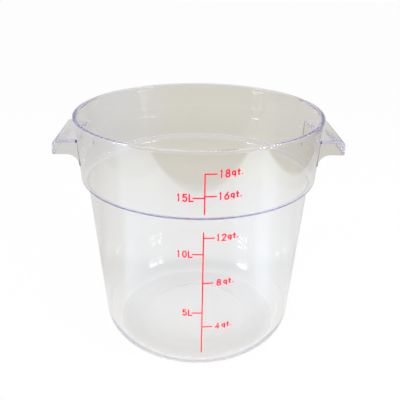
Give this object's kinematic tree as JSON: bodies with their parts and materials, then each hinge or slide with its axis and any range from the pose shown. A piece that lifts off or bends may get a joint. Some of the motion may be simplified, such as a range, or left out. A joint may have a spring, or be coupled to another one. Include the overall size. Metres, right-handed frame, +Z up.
{
  "type": "round graduated storage tub",
  "caption": "Clear round straight-sided tub with a wider collar, two open-bottomed side handles and a printed volume scale.",
  "frame": {"origin": "centre of the vessel at the height of the standing ring under the base", "axes": "+Z up through the open rim, handles on +X and -X, printed scale on the -Y side"},
  "size_m": [0.3606, 0.3166, 0.3148],
  "materials": {
    "clear_plastic": "clear glossy moulded plastic",
    "red_ink": "screen-printed ink"
  },
  "bodies": {
    "root": {"vessel": "clear_plastic", "handle_left": "clear_plastic", "handle_right": "clear_plastic", "scale_line_upper": "red_ink", "scale_line_lower": "red_ink", "mark_18_quart": "red_ink", "mark_16_quart": "red_ink", "mark_12_quart": "red_ink", "mark_8_quart": "red_ink", "mark_4_quart": "red_ink", "mark_15_litre": "red_ink", "mark_10_litre": "red_ink", "mark_5_litre": "red_ink"}
  },
  "joints": []
}
